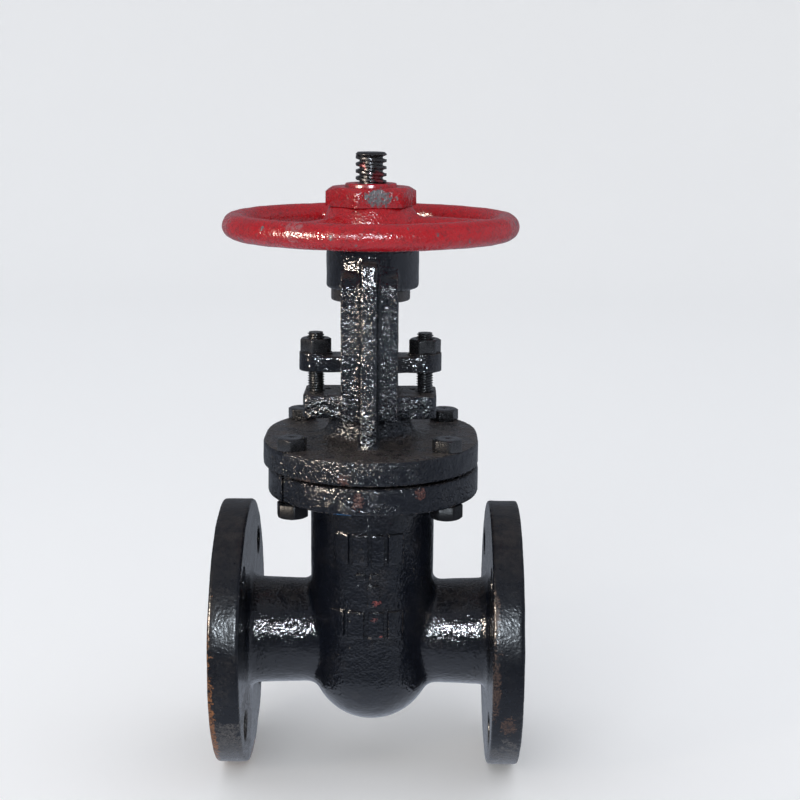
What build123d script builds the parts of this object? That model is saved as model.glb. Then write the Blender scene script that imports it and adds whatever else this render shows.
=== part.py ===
"""Rising-stem wedge gate valve, 50 mm nominal bore, flanged cast iron.

Millimetres. The origin is where the pipe axis (X) crosses the stem axis (Z, up). The yoke arms
stand in the YZ plane. The valve is shut: the wedge is between its seats and the stem is down.
"""
import os
from math import cos, radians, sin, sqrt, tan

from build123d import *

# ---- driving dimensions -------------------------------------------------------------------
FACE_TO_FACE = 182.0
PORT_R = 25.0

# pipe flanges and the necks behind them
FLANGE_R = 80.0
FLANGE_THICK = 18.0            # without the raised face
RAISED_FACE = 0.8
RAISED_FACE_R = 50.0
FLANGE_PCD = 125.0
FLANGE_HOLES = 4
FLANGE_HOLE_R = {"inlet": 9.0, "outlet": 9.2}    # each flange is drilled on its own
FLANGE_HOLE_TURN_DEG = 45.0
NECK_R_FLANGE = 32.6           # the neck tapers towards the chamber
NECK_R_CENTRE = 30.0

# chamber: an upright slot shape in plan, longer across the pipe, on a round-bottomed bowl
WALL = 6.9
CHAMBER_R = 36.9
CHAMBER_HALF_STRAIGHT = 9.0
CHAMBER_SHIFT = 1.8            # the outer wall sits a little towards the outlet
BOWL_Z = -14.2
BODY_FLANGE_BOTTOM = 92.2
BODY_FLANGE_TOP = 108.1

# bonnet joint
BODY_OVAL_R = 62.4
BODY_OVAL_SHIFT = 2.2          # the two castings' flanges don't quite match
BONNET_OVAL_R = 63.7
BONNET_OVAL_SHIFT = 0.8
OVAL_HALF_STRAIGHT = 9.8
GASKET_THICK = 1.5
GASKET_MARGIN = 13.0           # how far the gasket reaches past the chamber's inner wall
BONNET_FLANGE_THICK = 14.3
BOLT_X = 44.4
BOLT_SHIFT = 0.8
BOLT_Y = 42.6
BOLT_R = 5.0
BOLT_HOLE_R = 5.6
HEAD_ACROSS_FLATS = 16.0
NUT_ACROSS_FLATS = 17.0
BOLT_HEAD_H = 7.0
BOLT_NUT_H = 8.2
BOLT_STICK_OUT = 1.2

# bonnet, stuffing box and yoke
STUFFING_NECK_R = 24.5
PLATE_HALF_X = 39.3
PLATE_HALF_Y = 17.6
PLATE_BOTTOM = 136.5
PLATE_TOP = 150.2
PLATE_CORNER_R = 5.0
CEILING_Z = 113.5              # underside of the bonnet above the chamber
BOX_BOTTOM = 120.0
BOX_R = 15.0
BUSH_R = 13.0
ARM_HALF_WIDTH = 16.4
ARM_THICK = 7.0
ARM_INNER_Y = 24.4
ARM_TOP_Z = 216.0
RIB_WIDTH = 9.4
RIB_Y_TOP = 36.0
RIB_Y_BOTTOM = 48.5
RIB_TOP_Z = 229.0
YOKE_HUB_R = 27.2
YOKE_HUB_SHIFT = 1.2
YOKE_HUB_BOTTOM = 212.4
YOKE_HUB_TOP = 236.0
PIN_HOLE_R = 1.6

# packing and gland
SPACER_THICK = 1.5
PACKING_RINGS = 4
PACKING_H = 5.5
GLAND_BOTTOM = 162.6
GLAND_TOP = 173.7
GLAND_CENTRE_R = 19.0
GLAND_LUG_R = 9.9
GLAND_BOSS_STEP = 1.6
STUD_X = 32.4
STUD_R = 5.0
STUD_TOP = 185.4
GLAND_NUT_H = 8.2

# stem and wedge
STEM_R = 9.0
THREAD_PITCH = 4.0             # left-handed, so that turning anticlockwise lifts the stem
THREAD_ROOT_R = 6.75
THREAD_BOTTOM = 178.0
THREAD_TOP = 286.5
STEM_TOP = 291.0
STEM_COLLAR_R = 12.5
STEM_NECK_R = 7.0
TEE_HALF_X = 10.0
TEE_HALF_Y = 12.0
TEE_BOTTOM = 34.2
TEE_TOP = 42.0
WEDGE_ANGLE = 5.0
WEDGE_HALF_THICK = 15.0        # seat plane at the pipe axis
WEDGE_R = 33.0
WEDGE_TOP = 48.0
RING_OUTER_R = 31.0
RING_INNER_R = 25.5
SEAT_RING_DEPTH = 6.0
FACE_RING_DEPTH = 3.5
FACE_PROUD = 1.0
SEAT_GAP = 0.03
GUIDE_HALF_WIDTH = 3.8
GUIDE_Y = 34.2

# stem nut, handwheel and lock nut
NUT_BORE_R = 9.2
NUT_COLLAR_R = 23.3
NUT_COLLAR_BOTTOM = 205.3
NUT_SHANK_R = 16.8
NUT_SEAT_R = 16.0
NUT_THREAD_R = 15.0
NUT_TOP = 273.2
WHEEL_R = 86.6
RIM_R = 7.4
RIM_Z = 248.8
WHEEL_HUB_BOTTOM = 238.0
WHEEL_HUB_TOP = 260.2
WHEEL_HUB_R_TOP = 24.6
WHEEL_HUB_R_BOTTOM = 27.5
SPOKES = 3
SPOKE_START_DEG = 350.0
LOCK_NUT_ACROSS_FLATS = 47.4
LOCK_NUT_H = 11.0
LOCK_NUT_TURN_DEG = 12.8
KEY_WIDTH = 8.0

# ---- worked out from the above ------------------------------------------------------------
HALF_LENGTH = FACE_TO_FACE / 2
FLANGE_FRONT = HALF_LENGTH - RAISED_FACE
FLANGE_BACK = FLANGE_FRONT - FLANGE_THICK
CAVITY_R = CHAMBER_R - WALL
BONNET_BOTTOM = BODY_FLANGE_TOP + GASKET_THICK
BONNET_FLANGE_TOP = BONNET_BOTTOM + BONNET_FLANGE_THICK
PACKING_BOTTOM = BOX_BOTTOM + SPACER_THICK
PACKING_TOP = PACKING_BOTTOM + PACKING_RINGS * PACKING_H
SLOPE = tan(radians(WEDGE_ANGLE))
BOLT_PLACES = [(BOLT_SHIFT + i * BOLT_X, j * BOLT_Y) for i, j in ((-1, -1), (1, -1), (1, 1), (-1, 1))]
SIDES = {"inlet": -1, "outlet": 1}


# ---- helpers ------------------------------------------------------------------------------
def slot(radius, half_straight):
    """A slot outline, two half circles joined by straights, long along Y."""
    return SlotCenterToCenter(2 * half_straight, 2 * radius, rotation=90)


def prism(sketch, bottom, top):
    """The sketch extruded upwards between two heights."""
    return extrude(Pos(0, 0, bottom) * sketch, top - bottom)


def disc(radius, bottom, top, x=0.0, y=0.0):
    """An upright cylinder between two heights."""
    return Pos(x, y, (bottom + top) / 2) * Cylinder(radius, top - bottom)


def ring(outer, inner, bottom, top):
    """An upright ring between two heights."""
    return disc(outer, bottom, top) - disc(inner, bottom - 1, top + 1)


def block(x_low, x_high, y_low, y_high, z_low, z_high):
    """A box given by its limits."""
    centre = Pos((x_low + x_high) / 2, (y_low + y_high) / 2, (z_low + z_high) / 2)
    return centre * Box(x_high - x_low, y_high - y_low, z_high - z_low)


def turned(points):
    """A solid of revolution about Z from (radius, height) points."""
    outline = Polyline(*[(r, 0, z) for r, z in points], close=True)
    return revolve(make_face(outline), Axis.Z)


def hexagon(across_flats, bottom, top, bore, x=0.0, y=0.0, turn=0.0, chamfer_top=True):
    """A hex nut or head with the corners of its outer end turned off, like a real one."""
    corner, flat = across_flats / sqrt(3), across_flats / 2 * 0.97
    height = top - bottom
    drop = (corner - flat) * tan(radians(30))
    cone = [(0, 0), (corner, 0), (corner, height - drop), (flat, height), (0, height)]
    if not chamfer_top:
        cone = [(0, 0), (flat, 0), (corner, drop), (corner, height), (0, height)]
    body = extrude(RegularPolygon(corner, 6, rotation=turn), height) & turned(cone)
    if bore:
        body -= disc(bore, -1, height + 1)
    return Pos(x, y, bottom) * body


def seat_plane(side):
    """The plane of a seat, at the pipe axis, with its Z pointing away from the wedge."""
    tilt = radians(WEDGE_ANGLE)
    return Plane(origin=(side * WEDGE_HALF_THICK, 0, 0), x_dir=(0, 1, 0),
                 z_dir=(side * cos(tilt), 0, -sin(tilt)))


def on_seat(side, radius, near, far):
    """A cylinder square to a seat, between two distances from its plane."""
    return seat_plane(side) * Pos(0, 0, (near + far) / 2) * Cylinder(radius, far - near)


# ---- body ---------------------------------------------------------------------------------
def ports():
    """Both necks and flanges as one solid of revolution about the pipe axis."""
    half = [(0, NECK_R_CENTRE), (FLANGE_BACK, NECK_R_FLANGE), (FLANGE_BACK, FLANGE_R),
            (FLANGE_FRONT, FLANGE_R), (FLANGE_FRONT, RAISED_FACE_R),
            (HALF_LENGTH, RAISED_FACE_R), (HALF_LENGTH, 0), (0, 0)]
    face = make_face(Polyline(*half, close=True))
    root = face.vertices().filter_by(lambda v: abs(v.X - FLANGE_BACK) < 0.1 and v.Y < 40)
    face = fillet(root, 5)
    rim = face.vertices().filter_by(lambda v: v.Y > FLANGE_R - 0.1)
    face = fillet(rim, 1.0)
    one = Rot(90, 0, 0) * revolve(face, Axis.X)
    return one + mirror(one, Plane.YZ)


def bowl(radius):
    """A level capsule along Y, the round bottom of the chamber."""
    shape = Rot(90, 0, 0) * Cylinder(radius, 2 * CHAMBER_HALF_STRAIGHT)
    for end in (-1, 1):
        shape += Pos(0, end * CHAMBER_HALF_STRAIGHT, 0) * Sphere(radius)
    return Pos(0, 0, BOWL_Z) * shape


def is_neck_junction(edge):
    """True for an edge that runs where a neck meets the chamber."""
    points = [edge @ t for t in (0.1, 0.3, 0.5, 0.7, 0.9)]
    middle_r = (NECK_R_CENTRE + NECK_R_FLANGE) / 2
    return edge.length > 3 and all(
        15 < abs(p.X) < CHAMBER_R + CHAMBER_SHIFT + 1 and abs(sqrt(p.Y ** 2 + p.Z ** 2) - middle_r) < 2
        for p in points)


def make_body():
    chamber = prism(slot(CHAMBER_R, CHAMBER_HALF_STRAIGHT), BOWL_Z, BODY_FLANGE_BOTTOM + 1)
    outer = Pos(CHAMBER_SHIFT, 0, 0) * (chamber + bowl(CHAMBER_R))
    outer += ports()
    outer = fillet(outer.edges().filter_by(is_neck_junction), 4.5)
    oval = prism(slot(BODY_OVAL_R, OVAL_HALF_STRAIGHT), BODY_FLANGE_BOTTOM, BODY_FLANGE_TOP)
    oval = Pos(BODY_OVAL_SHIFT, 0, 0) * oval
    oval = chamfer(oval.faces().sort_by(Axis.Z)[-1].edges(), 0.8)
    outer += oval
    cavity = prism(slot(CAVITY_R, CHAMBER_HALF_STRAIGHT), BOWL_Z, BODY_FLANGE_TOP + 1)
    cavity += bowl(CAVITY_R)
    shell = outer - cavity
    for side in SIDES.values():
        shell += on_seat(side, WEDGE_R + 1, FACE_PROUD - 0.2, 24) & outer
    for name, side in SIDES.items():
        shell -= on_seat(side, RING_OUTER_R, -4, SEAT_RING_DEPTH)
        start, end = sorted((side * WEDGE_HALF_THICK, side * (HALF_LENGTH + 1)))
        bore = Rot(0, 90, 0) * Cylinder(PORT_R, end - start)
        shell -= Pos((start + end) / 2, 0, 0) * bore
        guide_low, guide_high = sorted((side * GUIDE_Y, side * (GUIDE_Y + WALL)))
        shell += block(-GUIDE_HALF_WIDTH, GUIDE_HALF_WIDTH, guide_low, guide_high, BOWL_Z, 88)
        for n in range(FLANGE_HOLES):
            angle = radians(FLANGE_HOLE_TURN_DEG + n * 360 / FLANGE_HOLES)
            y, z = FLANGE_PCD / 2 * cos(angle), FLANGE_PCD / 2 * sin(angle)
            hole = Rot(0, 90, 0) * Cylinder(FLANGE_HOLE_R[name], 2 * FLANGE_THICK)
            shell -= Pos(side * (FLANGE_FRONT - FLANGE_THICK / 2), y, z) * hole
    for x, y in BOLT_PLACES:
        shell -= disc(BOLT_HOLE_R, BODY_FLANGE_BOTTOM - 1, BODY_FLANGE_TOP + 1, x, y)
    return shell


def make_seat_ring(side):
    whole = on_seat(side, RING_OUTER_R, 0, SEAT_RING_DEPTH)
    return whole - on_seat(side, RING_INNER_R, -1, SEAT_RING_DEPTH + 1)


# ---- wedge and stem -----------------------------------------------------------------------
def make_wedge():
    half = WEDGE_HALF_THICK - FACE_PROUD
    low, high = -WEDGE_R - 1, WEDGE_R + 1
    section = Polyline((half + low * SLOPE, 0, low), (half + high * SLOPE, 0, high),
                       (-half - high * SLOPE, 0, high), (-half - low * SLOPE, 0, low), close=True)
    taper = extrude(make_face(section), WEDGE_R + 2, both=True)
    wedge = taper & (Rot(0, 90, 0) * Cylinder(WEDGE_R, 60))
    wedge += block(-13.5, 13.5, -17, 17, 22, WEDGE_TOP)
    for side in SIDES.values():
        lug_low, lug_high = sorted((side * 27, side * (GUIDE_Y + 2.2)))
        wedge += block(-9, 9, lug_low, lug_high, -12, 12)
        gap_low, gap_high = sorted((side * (GUIDE_Y - 0.6), side * (GUIDE_Y + 5)))
        room = GUIDE_HALF_WIDTH + 0.5
        wedge -= block(-room, room, gap_low, gap_high, -20, 20)
        groove = on_seat(side, RING_OUTER_R, -FACE_RING_DEPTH, 4)
        groove -= on_seat(side, RING_INNER_R, -FACE_RING_DEPTH - 1, 5)
        wedge -= groove
    wedge -= block(-20, 20, -TEE_HALF_Y - 0.3, TEE_HALF_Y + 0.3, TEE_BOTTOM - 0.2, TEE_TOP + 0.3)
    wedge -= block(-20, 20, -STEM_NECK_R - 0.4, STEM_NECK_R + 0.4, TEE_TOP, WEDGE_TOP + 1)
    return wedge


def make_face_ring(side):
    whole = on_seat(side, RING_OUTER_R, -FACE_RING_DEPTH, -SEAT_GAP)
    return whole - on_seat(side, RING_INNER_R, -FACE_RING_DEPTH - 1, 1)


def thread_ridge():
    """The ridge of a left-hand trapezoidal thread, thin enough at its ends to run out."""
    crest, root = THREAD_PITCH * 0.37, THREAD_PITCH * 0.63
    inner = THREAD_ROOT_R - 0.4
    path = Helix(THREAD_PITCH, THREAD_TOP - THREAD_BOTTOM - THREAD_PITCH, THREAD_ROOT_R,
                 lefthand=True)
    profile = Polyline((inner, 0, -root / 2), (THREAD_ROOT_R, 0, -root / 2),
                       (STEM_R, 0, -crest / 2), (STEM_R, 0, crest / 2),
                       (THREAD_ROOT_R, 0, root / 2), (inner, 0, root / 2), close=True)
    ridge = sweep(make_face(profile), path, is_frenet=True)
    return Pos(0, 0, THREAD_BOTTOM + THREAD_PITCH / 2) * ridge


def make_stem():
    shaft = turned([(0, TEE_TOP - 1), (STEM_NECK_R, TEE_TOP - 1), (STEM_NECK_R, 50),
                    (STEM_COLLAR_R, 50), (STEM_COLLAR_R, 52.5), (STEM_R, 56),
                    (STEM_R, THREAD_BOTTOM - 2), (THREAD_ROOT_R, THREAD_BOTTOM),
                    (THREAD_ROOT_R, THREAD_TOP), (THREAD_ROOT_R + 0.2, THREAD_TOP),
                    (THREAD_ROOT_R + 0.2, STEM_TOP - 1), (THREAD_ROOT_R - 0.8, STEM_TOP),
                    (0, STEM_TOP)])
    tee = block(-TEE_HALF_X, TEE_HALF_X, -TEE_HALF_Y, TEE_HALF_Y, TEE_BOTTOM, TEE_TOP)
    return shaft + tee + thread_ridge()


# ---- bonnet with its yoke -----------------------------------------------------------------
def yoke_arm(side):
    """One arm: an upright web from the plate to the hub, with a rib that runs to the flange."""
    inner, outer = ARM_INNER_Y, ARM_INNER_Y + ARM_THICK
    web = Polyline((0, 12, PLATE_BOTTOM + 0.5), (0, outer, PLATE_BOTTOM + 0.5), (0, outer, ARM_TOP_Z),
                   (0, outer - 3, ARM_TOP_Z + 5), (0, 20, ARM_TOP_Z + 9), (0, 20, YOKE_HUB_BOTTOM + 1),
                   (0, inner, YOKE_HUB_BOTTOM + 0.5), (0, inner, PLATE_TOP - 1), (0, 12, PLATE_TOP - 1),
                   close=True)
    arm = extrude(make_face(web), ARM_HALF_WIDTH, both=True)
    foot = BONNET_FLANGE_TOP
    rib = Polyline((0, 16, foot - 2), (0, RIB_Y_BOTTOM, foot - 2), (0, RIB_Y_BOTTOM, foot),
                   (0, RIB_Y_TOP, RIB_TOP_Z), (0, 20, RIB_TOP_Z + 1), (0, 20, YOKE_HUB_BOTTOM + 2),
                   (0, inner + 2, YOKE_HUB_BOTTOM - 2), (0, inner + 2, PLATE_TOP - 2),
                   (0, 16, PLATE_BOTTOM), close=True)
    arm += extrude(make_face(rib), RIB_WIDTH / 2, both=True)
    return arm if side > 0 else mirror(arm, Plane.XZ)


def make_bonnet():
    flange = prism(slot(BONNET_OVAL_R, OVAL_HALF_STRAIGHT), BONNET_BOTTOM, BONNET_FLANGE_TOP)
    flange = Pos(BONNET_OVAL_SHIFT, 0, 0) * flange
    flange = chamfer(flange.faces().sort_by(Axis.Z)[-1].edges(), 1.0)
    flare = [(0, BONNET_FLANGE_TOP - 1), (STUFFING_NECK_R + 9, BONNET_FLANGE_TOP - 1),
             (STUFFING_NECK_R + 9, BONNET_FLANGE_TOP)]
    steps = 6
    for n in range(1, steps + 1):
        turn = radians(90 * n / steps)
        flare.append((STUFFING_NECK_R + 9 * (1 - sin(turn)), BONNET_FLANGE_TOP + 9 * (1 - cos(turn))))
    flare += [(STUFFING_NECK_R, PLATE_BOTTOM + 1), (0, PLATE_BOTTOM + 1)]
    bonnet = flange + turned(flare)
    plate = Rectangle(2 * PLATE_HALF_X, 2 * PLATE_HALF_Y)
    plate = fillet(plate.vertices(), PLATE_CORNER_R)
    bonnet += prism(plate, PLATE_BOTTOM, PLATE_TOP)
    for side in (-1, 1):
        bonnet += yoke_arm(side)
    hub = disc(YOKE_HUB_R, YOKE_HUB_BOTTOM, YOKE_HUB_TOP, YOKE_HUB_SHIFT)
    bonnet += chamfer(hub.edges().group_by(Axis.Z)[0], 1.2)
    bonnet -= prism(slot(CAVITY_R, CHAMBER_HALF_STRAIGHT), BONNET_BOTTOM - 1, CEILING_Z)
    bonnet -= disc(BUSH_R, CEILING_Z - 1, BOX_BOTTOM)
    bonnet -= disc(BOX_R, BOX_BOTTOM, PLATE_TOP + 1)
    bonnet -= disc(NUT_SHANK_R + 0.2, YOKE_HUB_BOTTOM - 1, YOKE_HUB_TOP + 1)
    for x, y in BOLT_PLACES:
        bonnet -= disc(BOLT_HOLE_R, BONNET_BOTTOM - 1, BONNET_FLANGE_TOP + 1, x, y)
    for side in (-1, 1):
        bonnet -= disc(STUD_R, PLATE_BOTTOM - 1, PLATE_TOP + 1, side * STUD_X)
        bonnet -= disc(PIN_HOLE_R, PLATE_TOP - 4, PLATE_TOP + 1, side * (STUD_X - 7), 5.5)
    return bonnet


def make_gasket():
    margin = CAVITY_R + GASKET_MARGIN
    outer = prism(slot(margin, CHAMBER_HALF_STRAIGHT), BODY_FLANGE_TOP, BONNET_BOTTOM)
    return outer - prism(slot(CAVITY_R, CHAMBER_HALF_STRAIGHT), BODY_FLANGE_TOP - 1, BONNET_BOTTOM + 1)


def make_backseat_bush():
    bottom = CEILING_Z - 1.5
    return turned([(STEM_R + 0.2, BOX_BOTTOM), (BUSH_R, BOX_BOTTOM), (BUSH_R, bottom),
                   (STEM_R + 2.2, bottom), (STEM_R + 0.2, bottom + 2)])


def make_gland():
    """The packing gland: a two-lug flange with a nose that presses on the packing."""
    lugs = Polyline((-STUD_X, -GLAND_LUG_R), (STUD_X, -GLAND_LUG_R), (STUD_X, GLAND_LUG_R),
                    (-STUD_X, GLAND_LUG_R), close=True)
    outline = make_face(lugs) + Circle(GLAND_CENTRE_R)
    for side in (-1, 1):
        outline += Pos(side * STUD_X, 0) * Circle(GLAND_LUG_R)
    corners = outline.vertices().filter_by(lambda v: 10 < abs(v.X) < 20)
    outline = fillet(corners, 8)
    gland = prism(outline, GLAND_BOTTOM, GLAND_TOP - GLAND_BOSS_STEP)
    gland = chamfer(gland.faces().sort_by(Axis.Z)[-1].edges(), 0.8)
    nose = disc(BOX_R - 0.3, PACKING_TOP + 0.1, GLAND_BOTTOM + 1)
    gland += nose
    for side in (-1, 1):
        gland += disc(GLAND_LUG_R, GLAND_BOTTOM + 1, GLAND_TOP, side * STUD_X)
    for side in (-1, 1):
        gland -= disc(STUD_R + 0.6, GLAND_BOTTOM - 1, GLAND_TOP + 1, side * STUD_X)
    return gland - disc(STEM_R + 0.4, PACKING_TOP - 1, GLAND_TOP + 1)


# ---- stem nut, handwheel, lock nut --------------------------------------------------------
def key_slot(depth):
    """The key's space, as deep into the stem nut and the wheel hub as asked."""
    return block(-KEY_WIDTH / 2, KEY_WIDTH / 2, NUT_SEAT_R - depth, NUT_SEAT_R + depth,
                 WHEEL_HUB_BOTTOM + 1, WHEEL_HUB_TOP - 2)


def make_stem_nut():
    nut = turned([(NUT_BORE_R, NUT_COLLAR_BOTTOM), (NUT_COLLAR_R - 0.8, NUT_COLLAR_BOTTOM),
                  (NUT_COLLAR_R, NUT_COLLAR_BOTTOM + 0.8), (NUT_COLLAR_R, YOKE_HUB_BOTTOM - 0.1),
                  (NUT_SHANK_R, YOKE_HUB_BOTTOM - 0.1), (NUT_SHANK_R, WHEEL_HUB_BOTTOM),
                  (NUT_SEAT_R, WHEEL_HUB_BOTTOM), (NUT_SEAT_R, WHEEL_HUB_TOP - 0.4),
                  (NUT_THREAD_R, WHEEL_HUB_TOP - 0.4), (NUT_THREAD_R, NUT_TOP - 1),
                  (NUT_THREAD_R - 1, NUT_TOP), (NUT_BORE_R + 1, NUT_TOP),
                  (NUT_BORE_R, NUT_TOP - 1)])
    return nut - key_slot(3)


def spoke(turn):
    """One spoke, an oval bar that thins towards the rim."""
    inner = Plane(origin=(NUT_SEAT_R + 4, 0, RIM_Z + 0.5), x_dir=(0, 1, 0), z_dir=(1, 0, 0))
    outer = Plane(origin=(WHEEL_R - RIM_R, 0, RIM_Z), x_dir=(0, 1, 0), z_dir=(1, 0, 0))
    bar = loft([inner * Ellipse(8.5, 5.6), outer * Ellipse(6.0, 4.4)])
    return Rot(0, 0, turn) * bar


def make_handwheel():
    wheel = Pos(0, 0, RIM_Z) * Torus(WHEEL_R - RIM_R, RIM_R)
    for n in range(SPOKES):
        wheel += spoke(SPOKE_START_DEG - n * 360 / SPOKES)
    wheel += turned([(0, WHEEL_HUB_BOTTOM), (WHEEL_HUB_R_BOTTOM, WHEEL_HUB_BOTTOM),
                     (WHEEL_HUB_R_BOTTOM, RIM_Z + 3), (WHEEL_HUB_R_TOP, WHEEL_HUB_TOP - 1),
                     (WHEEL_HUB_R_TOP - 1, WHEEL_HUB_TOP), (0, WHEEL_HUB_TOP)])
    wheel -= disc(NUT_SEAT_R, WHEEL_HUB_BOTTOM - 1, WHEEL_HUB_TOP + 1)
    return wheel - key_slot(3)


def make_key():
    return key_slot(3)


# ---- fasteners ----------------------------------------------------------------------------
def make_bolt(x, y, turn):
    top = BONNET_FLANGE_TOP + BOLT_HEAD_H
    end = BODY_FLANGE_BOTTOM - BOLT_NUT_H - BOLT_STICK_OUT
    head = hexagon(HEAD_ACROSS_FLATS, BONNET_FLANGE_TOP, top, 0, x, y, turn)
    shank = chamfer(disc(BOLT_R, end, BONNET_FLANGE_TOP + 1, x, y).edges().group_by(Axis.Z)[0], 0.8)
    return head + shank


def make_bolt_nut(x, y, turn):
    bottom = BODY_FLANGE_BOTTOM - BOLT_NUT_H
    return hexagon(NUT_ACROSS_FLATS, bottom, BODY_FLANGE_BOTTOM, BOLT_R, x, y, turn, False)


def make_gland_stud(side):
    stud = disc(STUD_R, PLATE_BOTTOM, STUD_TOP, side * STUD_X)
    return chamfer(stud.edges().group_by(Axis.Z)[-1], 0.8)


def make_gland_nut(side, turn):
    top = GLAND_TOP + GLAND_NUT_H
    return hexagon(NUT_ACROSS_FLATS, GLAND_TOP, top, STUD_R + 0.1, side * STUD_X, 0, turn)


def make_parts():
    parts = {
        "body": make_body(),
        "wedge": make_wedge(),
        "stem": make_stem(),
        "bonnet": make_bonnet(),
        "bonnet_gasket": make_gasket(),
        "backseat_bush": make_backseat_bush(),
        "packing_spacer": ring(BOX_R, STEM_R + 0.2, BOX_BOTTOM, PACKING_BOTTOM),
        "gland": make_gland(),
        "stem_nut": make_stem_nut(),
        "thrust_washer": ring(YOKE_HUB_R - 2, NUT_SHANK_R + 0.2, YOKE_HUB_TOP,
                              WHEEL_HUB_BOTTOM - 0.1),
        "handwheel": make_handwheel(),
        "handwheel_key": make_key(),
        "lock_nut": hexagon(LOCK_NUT_ACROSS_FLATS, WHEEL_HUB_TOP, WHEEL_HUB_TOP + LOCK_NUT_H,
                            NUT_THREAD_R, turn=LOCK_NUT_TURN_DEG),
    }
    for name, side in SIDES.items():
        parts[f"seat_ring_{name}"] = make_seat_ring(side)
        parts[f"wedge_ring_{name}"] = make_face_ring(side)
    for n in range(PACKING_RINGS):
        bottom = PACKING_BOTTOM + n * PACKING_H
        parts[f"packing_ring_{n + 1}"] = ring(BOX_R, STEM_R + 0.05, bottom, bottom + PACKING_H)
    for name, side, turn in (("left", -1, 20), ("right", 1, 8)):
        parts[f"gland_stud_{name}"] = make_gland_stud(side)
        parts[f"gland_nut_{name}"] = make_gland_nut(side, turn)
    for n, ((x, y), turn) in enumerate(zip(BOLT_PLACES, (25, 40, 8, 50)), start=1):
        parts[f"bonnet_bolt_{n}"] = make_bolt(x, y, turn)
        parts[f"bonnet_nut_{n}"] = make_bolt_nut(x, y, turn + 17)
    return parts


if __name__ == "__main__":
    os.makedirs("parts", exist_ok=True)
    for node, shape in make_parts().items():
        export_step(shape, f"parts/{node}.step")
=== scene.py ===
"""The look of a flanged rising-stem gate valve: painted castings, turned parts, threads, paint wear.

Metres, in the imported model's frame: the pipe runs along X, the stem along Z, and -Y is the front.
"""
import math

import bpy
import numpy as np
from mathutils import Matrix, Vector, noise


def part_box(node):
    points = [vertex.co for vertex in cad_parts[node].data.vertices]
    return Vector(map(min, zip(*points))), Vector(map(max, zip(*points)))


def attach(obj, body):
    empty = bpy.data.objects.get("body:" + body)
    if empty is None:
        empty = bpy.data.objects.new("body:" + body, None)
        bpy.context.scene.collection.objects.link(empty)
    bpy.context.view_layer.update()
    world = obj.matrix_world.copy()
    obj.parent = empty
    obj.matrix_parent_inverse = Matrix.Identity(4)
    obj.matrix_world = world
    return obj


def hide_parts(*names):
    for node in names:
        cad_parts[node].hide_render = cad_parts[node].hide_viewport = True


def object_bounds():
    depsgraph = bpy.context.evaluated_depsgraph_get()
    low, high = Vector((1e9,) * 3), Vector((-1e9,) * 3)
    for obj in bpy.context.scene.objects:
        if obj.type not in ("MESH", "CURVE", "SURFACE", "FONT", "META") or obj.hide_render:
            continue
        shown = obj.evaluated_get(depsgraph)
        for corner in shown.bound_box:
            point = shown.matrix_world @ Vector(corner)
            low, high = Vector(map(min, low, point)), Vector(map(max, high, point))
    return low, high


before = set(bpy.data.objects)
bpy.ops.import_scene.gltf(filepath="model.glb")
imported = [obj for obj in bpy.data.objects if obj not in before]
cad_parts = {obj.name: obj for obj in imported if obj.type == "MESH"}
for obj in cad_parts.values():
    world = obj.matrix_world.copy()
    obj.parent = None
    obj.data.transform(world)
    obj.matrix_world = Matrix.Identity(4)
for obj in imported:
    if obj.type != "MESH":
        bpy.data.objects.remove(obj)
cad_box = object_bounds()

MM = 0.001
TAU = 2 * math.pi
ROOT, WHEEL, STEM = "valve_body", "wheel", "stem_and_wedge"
COLLECTION = bpy.context.scene.collection


# ---- mesh helpers ---------------------------------------------------------------------------
def new_object(name, verts, faces):
    """A smooth mesh object from points in metres."""
    mesh = bpy.data.meshes.new(name)
    mesh.from_pydata([tuple(v) for v in verts], [], [tuple(f) for f in faces])
    mesh.validate()
    mesh.update()
    mesh.shade_smooth()
    obj = bpy.data.objects.new(name, mesh)
    COLLECTION.objects.link(obj)
    return obj


def join_meshes(name, parts):
    """One object from several (verts, faces) lists."""
    verts, faces = [], []
    for v, f in parts:
        start = len(verts)
        verts += [tuple(p) for p in v]
        faces += [tuple(i + start for i in face) for face in f]
    return new_object(name, verts, faces)


def sharpen(obj, angle=38):
    """Hard edges where the surface turns more than the angle, in degrees."""
    obj.data.set_sharp_from_angle(angle=math.radians(angle))
    return obj


def round_corners(profile, radius):
    """A profile of (r, z) points, in mm, with its corners rounded."""
    steps = 3
    out = []
    count = len(profile)
    for i, p in enumerate(profile):
        before, after = profile[i - 1], profile[(i + 1) % count]
        a = Vector((before[0] - p[0], before[1] - p[1]))
        b = Vector((after[0] - p[0], after[1] - p[1]))
        cut = min(radius, a.length * 0.45, b.length * 0.45)
        if cut < 0.02 or (p[0] <= 0.001):
            out.append(p)
            continue
        p0, p2 = Vector(p) + a.normalized() * cut, Vector(p) + b.normalized() * cut
        for k in range(steps + 1):
            t = k / steps
            q = p0 * (1 - t) ** 2 + Vector(p) * 2 * t * (1 - t) + p2 * t ** 2
            out.append((q.x, q.y))
    return out


def lathe(profile, segments, corner, wobble=0.0):
    """(verts, faces) of a closed profile of (r, z), in mm, turned about Z."""
    pts = round_corners(profile, corner)
    verts, faces, n = [], [], len(pts)
    for s in range(segments):
        a = TAU * s / segments
        for r, z in pts:
            bump = 1.0
            if wobble and r > 1:
                bump += wobble * noise.noise(Vector((math.cos(a) * 3, math.sin(a) * 3, z * 0.1)))
            verts.append(Vector((r * bump * math.cos(a), r * bump * math.sin(a), z)) * MM)
    for s in range(segments):
        t = (s + 1) % segments
        for i in range(n):
            j = (i + 1) % n
            faces.append((s * n + i, t * n + i, t * n + j, s * n + j))
    return verts, faces


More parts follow.
